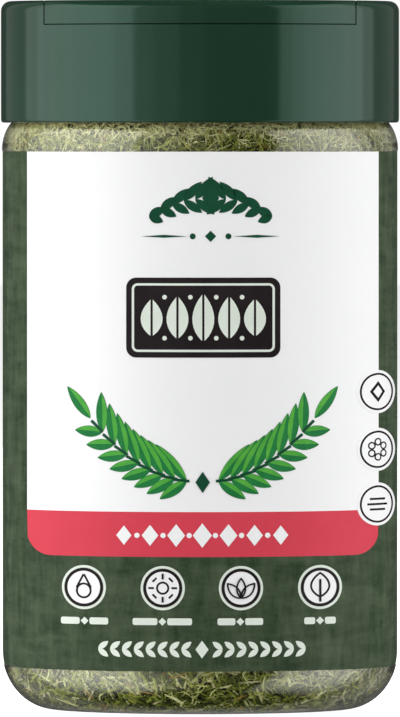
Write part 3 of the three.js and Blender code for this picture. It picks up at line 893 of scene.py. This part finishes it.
# The white panel and, across its foot, the red band. All the print's places are in mm.
PANEL_LEFT, PANEL_RIGHT, PANEL_FOOT, BAND_HEAD, PANEL_HEAD = -26.3, 27.2, 24.1, 30.9, LABEL_HEAD / MM
panel_middle, panel_width = (PANEL_LEFT + PANEL_RIGHT) / 2, PANEL_RIGHT - PANEL_LEFT
white = bar(panel_middle, (BAND_HEAD + PANEL_HEAD) / 2, panel_width, PANEL_HEAD - BAND_HEAD)
printed("panel_print", [white], white_ink, 1)
band_middle = (PANEL_FOOT + BAND_HEAD) / 2
band = bar(panel_middle, band_middle, panel_width, BAND_HEAD - PANEL_FOOT, 3.6)
for vertex in band.data.vertices:
    if vertex.co.z > band_middle * MM:
        vertex.co.z = BAND_HEAD * MM
        vertex.co.x = MM * (PANEL_LEFT if vertex.co.x < panel_middle * MM else PANEL_RIGHT)
open_mesh()
bpy.ops.mesh.remove_doubles(threshold=0.005 * MM)
close_mesh()
printed("band_print", [band], red_ink, 1)

# Above, a small spray in dark green: a diamond between two rows of leaves, over a fine rule.
SPRAY_X, SPRAY_Z, RULE_Z = 1.6, 78.2, 72.6
spray = [flat_shape(SPRAY_X, SPRAY_Z + 0.2, 2.6, 4.4, 4)]
for side in (-1, 1):
    for i in range(5):
        x, z = SPRAY_X + side * (2.3 + 1.75 * i), SPRAY_Z - 0.16 * i * i
        spray.append(leaf_shape(x, z, 4.3 - 0.4 * i, 1.25, side * (38 + 6 * i)))
        spray.append(leaf_shape(x, z, 3.7 - 0.35 * i, 1.15, side * (128 - 4 * i)))
    spray.append(flat_shape(SPRAY_X + side * 2.7, RULE_Z, 0.9, 0.9, 20))
    spray.append(flat_shape(SPRAY_X + side * 7, RULE_Z, 7, 0.45, 4))
spray.append(flat_shape(SPRAY_X, RULE_Z, 1.7, 1.7, 4))
printed("spray_print", spray, bottle_ink, 3)

# In the middle, a black plate with a keyline and five open leaves.
PLATE_X, PLATE_Z, PLATE_WIDTH, PLATE_HEIGHT = 0.5, 60.3, 23.3, 12.1
printed("plate_print", [bar(PLATE_X, PLATE_Z, PLATE_WIDTH, PLATE_HEIGHT, 1.5)], black_ink, 3)
keyline = bar(PLATE_X, PLATE_Z, PLATE_WIDTH - 1.7, PLATE_HEIGHT - 1.7, 0.9)
plate_marks = [outline(keyline, 0.35)]
for i in range(-2, 3):
    x, tall = PLATE_X + i * 3.9, 7.2 - 0.8 * abs(i)
    for half in (-1, 1):
        plate_marks.append(leaf_shape(x, PLATE_Z - tall / 2, tall, 2.9, 0, half))
    if i < 2:
        plate_marks += [flat_shape(x + 1.95, PLATE_Z + z, 0.7, 0.7, 16) for z in (-3.1, 3.1)]
printed("plate_mark_print", plate_marks, cream_ink, 4)

# Below it, a garland: two branches of narrow leaves that part from the middle.
GARLAND_X, GARLAND_Z = 0.4, 34.4
LEAF_PAIRS = 8
stems, leaves, leaf_lights = [], [], []
for side in (-1, 1):
    for i in range(LEAF_PAIRS + 1):
        share = i / LEAF_PAIRS
        x = GARLAND_X + side * (2.4 + 14.6 * share)
        z = GARLAND_Z + 1.2 + 2.2 * share + 7.2 * share**2.2
        lean, long = 84 - 44 * share, 6.6 - 1.2 * share
        turns = ((lean - 44, 1.1), (lean + 40, 0.75)) if i < LEAF_PAIRS else ((lean - 4, 1.1),)
        for turn, size in turns:
            leaves.append(leaf_shape(x, z, long * size, 1.5, -side * turn))
            leaf_lights.append(leaf_shape(x, z, long * size * 0.97, 1.4, -side * turn, -side))
        if i < LEAF_PAIRS:
            rise = 0.1 + 0.95 * share**1.2
            stems.append(bar(x + side * 0.8, z + rise, 2.4, 0.42, 0, -side * (lean - 90)))
stems.append(flat_shape(GARLAND_X, GARLAND_Z + 1, 2.2, 3.2, 4))
printed("garland_leaf_print", leaves, deep_leaf_ink, 3)
printed("garland_light_print", leaf_lights, light_leaf_ink, 4)
printed("garland_stem_print", stems, bottle_ink, 5)

# On the red band, a row of diamonds and dots.
BAND_X, BAND_Z = 0.35, 27.35
band_marks = []
for i in range(-3, 4):
    x, size = BAND_X + i * 3.95, 1 - 0.07 * abs(i)
    band_marks.append(flat_shape(x, BAND_Z, 2.9 * size, 3.7 * size, 4))
    if i < 3:
        band_marks.append(flat_shape(x + 1.97, BAND_Z, 0.8, 0.8, 16))
printed("band_mark_print", band_marks, white_ink, 4)

# On the field, four roundels, each with a plain sign: a drop, a sun, three seeds and a leaf.
ROUNDEL_XS, ROUNDEL_Z, ROUNDEL_SIZE = (-17.6, -5.64, 6.2, 18.2), 19.38, 6.7
THICK_LINE, LINE, THIN_LINE = 0.46, 0.3, 0.24
for name, size, paint, layer in (
    ("roundel_print", ROUNDEL_SIZE, cream_ink, 1),
    ("roundel_face_print", ROUNDEL_SIZE - 1, white_ink, 2),
):
    printed(name, [flat_shape(x, ROUNDEL_Z, size, size, 64) for x in ROUNDEL_XS], paint, layer)
ring = ROUNDEL_SIZE - 0.8
signs = [outline(flat_shape(x, ROUNDEL_Z, ring, ring, 64), THICK_LINE) for x in ROUNDEL_XS]
drop_x, sun_x, seeds_x, leaf_x = ROUNDEL_XS
signs.append(outline(flat_shape(drop_x, ROUNDEL_Z - 0.5, 2.4, 2.4, 32), LINE))
for side in (-1, 1):
    signs.append(bar(drop_x + side * 0.57, ROUNDEL_Z + 0.95, LINE, 2.3, 0, side * 28))
signs.append(outline(flat_shape(sun_x, ROUNDEL_Z, 2, 2, 32), LINE))
for i in range(8):
    turn = i * math.pi / 4
    at = (sun_x + 1.75 * math.sin(turn), ROUNDEL_Z + 1.75 * math.cos(turn))
    signs.append(bar(*at, LINE, 0.85, 0, math.degrees(turn)))
for turn in (-42, 0, 42):
    signs.append(outline(leaf_shape(seeds_x, ROUNDEL_Z - 1.6, 3.2, 1.35, turn), THIN_LINE))
signs.append(outline(leaf_shape(leaf_x, ROUNDEL_Z - 1.6, 3.9, 2.7, 0), LINE))
signs.append(bar(leaf_x, ROUNDEL_Z - 0.5, LINE, 3.4))
printed("roundel_sign_print", signs, black_ink, 3)

# Under them, dashes and dots, and a border of small leaves.
DASH_Z, BORDER_X, BORDER_Z, BORDER_STEP, BORDER_LEAVES = 14.3, 0.3, 10.1, 1.8, 9
dashes = []
for x, width in ((-17.5, 7.2), (-5.7, 9), (6.1, 6.9), (18.2, 4.8)):
    long = (width - 1.5) / 2
    for side in (-1, 1):
        dashes.append(bar(x + side * (0.75 + long / 2), DASH_Z, long, 1.05, 0.3))
    dashes.append(flat_shape(x, DASH_Z, 1.2, 1.2, 4))
dashes.append(flat_shape(BORDER_X, BORDER_Z, 2, 2.7, 4))
for side in (-1, 1):
    for i in range(2, BORDER_LEAVES + 1):
        for turn in (52, 128):
            x = BORDER_X + side * (i * BORDER_STEP - 0.5)
            dashes.append(leaf_shape(x, BORDER_Z, 1.9, 0.75, side * turn))
printed("border_print", dashes, cream_ink, 1)

# At the right edge of the front, three seals down the field, with plain geometric signs.
SEAL_X, SEAL_ZS, SEAL_SIZE = 27.1, (48.83, 40.03, 31.7), 6.55


def closed_in(shape):
    """Narrows what lies right of a seal's middle, so that it ends before the jar's side."""
    narrower = (PRINT_EDGE / MM - 0.02 - SEAL_X) / (SEAL_SIZE / 2)
    for vertex in shape.data.vertices:
        off = vertex.co.x - SEAL_X * MM
        vertex.co.x = SEAL_X * MM + off * (narrower if off > 0 else 1)
    return shape


seals = [flat_shape(SEAL_X, z, SEAL_SIZE, SEAL_SIZE, 64) for z in SEAL_ZS]
printed("seal_print", [closed_in(seal) for seal in seals], white_ink, 3)
seal_signs = [outline(flat_shape(SEAL_X, z, 5.7, 5.7, 64), LINE) for z in SEAL_ZS]
seal_signs.append(outline(flat_shape(SEAL_X, SEAL_ZS[0], 2.6, 3.2, 4), 0.4))
for i in range(6):
    turn = i * math.pi / 3
    at = (SEAL_X + 1.15 * math.sin(turn), SEAL_ZS[1] + 1.15 * math.cos(turn))
    seal_signs.append(outline(flat_shape(*at, 1.2, 1.2, 20), 0.22))
for z in (-0.8, 0, 0.8):
    seal_signs.append(bar(SEAL_X, SEAL_ZS[2] + z, 3.4 - abs(z), 0.32))
printed("seal_sign_print", [closed_in(sign) for sign in seal_signs], black_ink, 4)

# ------------------------ the cap
# A one-piece screw cap of green polypropylene: a smooth skirt with a thread inside, a sealing
# ring, a deck with a dozen holes and a spoon's opening, and a bridge that the doors hinge on.
cap_low, cap_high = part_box("cap_body")
CAP_RADIUS, CAP_FOOT, CAP_HEAD = cap_high.x, cap_low.z, cap_high.z
CAP_WALL, CAP_EDGE, CAP_LIP, EDGE_ROUNDING = 1.3 * MM, 1.5 * MM, 0.45 * MM, 0.12 * MM
DECK_TOP, DECK_THICKNESS = 104.66 * MM, 1.4 * MM
PLUG_RADIUS, PLUG_WALL, PLUG_FOOT = 25.1 * MM, 1.1 * MM, 100.4 * MM
BRIDGE_HALF, DOOR_HALF, DOOR_GAP = 4.5 * MM, 23.77 * MM, 0.14 * MM
HOLE_RADIUS, PEG_RADIUS, PLUG_DEPTH = 1.8 * MM, 1.35 * MM, 0.5 * MM
SIFT_ROWS = ((-10, 5, 7), (-15.5, 4, 7), (-21, 3, 6))  # y, holes and spacing, in mm
SPOON_NEAR, SPOON_HALF, SPOON_FAR = 6.5 * MM, 20 * MM, 22.6 * MM
PLATE_UNDER = CAP_HEAD - CAP_WALL
deck_under = DECK_TOP - DECK_THICKNESS
cap_inside = CAP_RADIUS - CAP_WALL
cap_edge = arc((CAP_RADIUS - CAP_EDGE, CAP_HEAD - CAP_EDGE), (CAP_EDGE, CAP_EDGE), 0, 90, 10)
cap_edge.append((CAP_RADIUS - CAP_EDGE - 0.3 * MM, CAP_HEAD))
far, above = CAP_RADIUS + 5 * MM, CAP_HEAD + 5 * MM  # clear of it


def block(x0, y0, z0, x1, y1, z1):
    middle = ((x0 + x1) / 2, (y0 + y1) / 2, (z0 + z1) / 2)
    size = (x1 - x0, y1 - y0, z1 - z0)
    return fresh(bpy.ops.mesh.primitive_cube_add, size=1, location=middle, scale=size)


def upright(x, y, foot_radius, head_radius, foot, head, sides=40):
    return fresh(
        bpy.ops.mesh.primitive_cone_add,
        vertices=sides,
        radius1=foot_radius,
        radius2=head_radius,
        depth=head - foot,
        location=(x, y, (foot + head) / 2),
    )


def soften(piece):
    """Rounds the sharp edges that moulding never leaves, once flat faces are whole."""
    take_up(piece)
    open_mesh()
    bpy.ops.mesh.remove_doubles(threshold=0.02 * MM)
    bpy.ops.mesh.dissolve_limited(angle_limit=math.radians(0.02))
    close_mesh()
    limit = {"limit_method": "ANGLE", "angle_limit": math.radians(35)}
    worked(piece, "BEVEL", width=EDGE_ROUNDING, segments=2, **limit)


def spoon_block(inset, foot, head):
    """The D-shaped space of the spoon's opening, moved in by inset."""
    far, half, near = SPOON_FAR - inset, SPOON_HALF - inset, SPOON_NEAR + inset
    tool = upright(0, 0, far, far, foot, head, SIDES)
    boolean(tool, block(-half, near, foot - MM, half, far + MM, head + MM), "INTERSECT")
    return tool


sift_places = [
    ((i - (count - 1) / 2) * spacing * MM, y * MM) for y, count, spacing in SIFT_ROWS for i in range(count)
]
cap_outline = [
    (0, CAP_HEAD),
    *reversed(cap_edge),
    *arc((CAP_RADIUS - CAP_LIP, CAP_FOOT + CAP_LIP), (CAP_LIP, CAP_LIP), 0, -90, 4),
    (cap_inside, CAP_FOOT),
    (cap_inside, deck_under),
    (PLUG_RADIUS, deck_under),
    (PLUG_RADIUS, PLUG_FOOT + 0.4 * MM),
    (PLUG_RADIUS - 0.3 * MM, PLUG_FOOT),
    (PLUG_RADIUS - PLUG_WALL, PLUG_FOOT),
    (PLUG_RADIUS - PLUG_WALL, deck_under),
    (0, deck_under),
]
cap_shell = turned("cap_shell", cap_outline)
for side in (-1, 1):
    near, away = sorted((side * BRIDGE_HALF, side * far))
    boolean(cap_shell, block(-DOOR_HALF, near, DECK_TOP, DOOR_HALF, away, above), "DIFFERENCE")
across, along = BRIDGE_HALF - CAP_WALL, 21 * MM  # the bridge is hollow
boolean(cap_shell, block(-along, -across, PLUG_FOOT, along, across, PLATE_UNDER), "DIFFERENCE")
for x, y in sift_places:
    hole = upright(x, y, HOLE_RADIUS, HOLE_RADIUS, deck_under - MM, DECK_TOP + MM)
    boolean(cap_shell, hole, "DIFFERENCE")
boolean(cap_shell, spoon_block(0, deck_under - MM, DECK_TOP + MM), "DIFFERENCE")
soften(cap_shell)
inner_thread = thread_ridge(cap_inside, -1, THREAD_FOOT - THREAD_PITCH / 2)
boolean(cap_shell, inner_thread, "UNION")
smooth(cap_shell, flats=True)

green, tree, shader = material(
    "green_plastic", Specular_IOR_Level=0.465, Specular_Tint=(0.645, 1, 0.87, 1)
)
surface = use_group(tree, moulded, Ripple_Scale=90, Scuff_Scale=1100, Roughness=0.13, Scuffing=0.05)
link(surface, "Roughness", shader, "Roughness")
bump(surface, "Height", shader, 0.1, 0.15 * MM)
pigment = texture(tree, "TexNoise", Scale=45, Detail=3)
tones = ramp(tree, [(0.35, (0.0100, 0.0335, 0.0182)), (0.65, (0.0116, 0.0378, 0.0210))])
link(pigment, "Fac", tones, "Fac")
link(tones, "Color", shader, "Base Color")
cap_shell.data.materials.append(green)
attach(cap_shell, "jar_and_cap")
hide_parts("cap_body")

# ------------------------ the doors
# Two flip doors moulded with the cap, each a plate with a lip that carries on the skirt. The
# front one has a peg for each hole, and the rear one a rib that plugs the spoon's opening.


def door_tray(name, side):
    top = [(0, CAP_HEAD), *reversed(cap_edge), (CAP_RADIUS, DECK_TOP + DOOR_GAP), (0, DECK_TOP + DOOR_GAP)]
    tray = turned(name, top)
    half = DOOR_HALF - DOOR_GAP
    near, away = sorted((side * (BRIDGE_HALF + DOOR_GAP), side * far))
    boolean(tray, block(-half, near, DECK_TOP, half, away, above), "INTERSECT")
    hollow = upright(0, 0, cap_inside, cap_inside, DECK_TOP - MM, PLATE_UNDER, SIDES)
    inner_half = DOOR_HALF - CAP_WALL
    boolean(hollow, block(-inner_half, -far, DECK_TOP, inner_half, far, CAP_HEAD), "INTERSECT")
    boolean(tray, hollow, "DIFFERENCE")
    return tray


rib_foot, rooted = DECK_TOP - PLUG_DEPTH, PLATE_UNDER + 0.4 * MM
front_door = door_tray("front_door", -1)
for x, y in sift_places:
    peg = upright(x, y, PEG_RADIUS - 0.3 * MM, PEG_RADIUS, rib_foot, rooted)
    boolean(front_door, peg, "UNION")
rear_door = door_tray("rear_door", 1)
rib = spoon_block(0.4 * MM, rib_foot, rooted)
boolean(rib, spoon_block(1.4 * MM, rib_foot - MM, PLATE_UNDER + MM), "DIFFERENCE")
boolean(rear_door, rib, "UNION")
for door, node in ((front_door, "sift_door"), (rear_door, "spoon_door")):
    soften(door)
    smooth(door, flats=True)
    door.data.materials.append(green)
    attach(door, node)
    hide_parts(node)

# ------------------------ the hinges
# Each door hangs on a living hinge: a thin web of the cap's own plastic across the gap to the
# bridge, at the top.
WEB_HALF, WEB_FOOT, WEB_HEAD = 19 * MM, CAP_HEAD - 0.35 * MM, CAP_HEAD - 0.13 * MM
for side, name, body in ((-1, "front_hinge_web", "sift_door"), (1, "rear_hinge_web", "spoon_door")):
    near, away = BRIDGE_HALF - 0.1 * MM, BRIDGE_HALF + DOOR_GAP + 0.12 * MM
    low, high = sorted((side * near, side * away))
    web = block(-WEB_HALF, low, WEB_FOOT, WEB_HALF, high, WEB_HEAD)
    web.name = web.data.name = name
    open_mesh()
    for i in range(1, 6):
        select_mesh()
        at = low + (high - low) * i / 6
        bpy.ops.mesh.bisect(plane_co=(0, at, 0), plane_no=(0, 1, 0))
    close_mesh()
    smooth(web)
    web.data.materials.append(green)
    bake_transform(web)
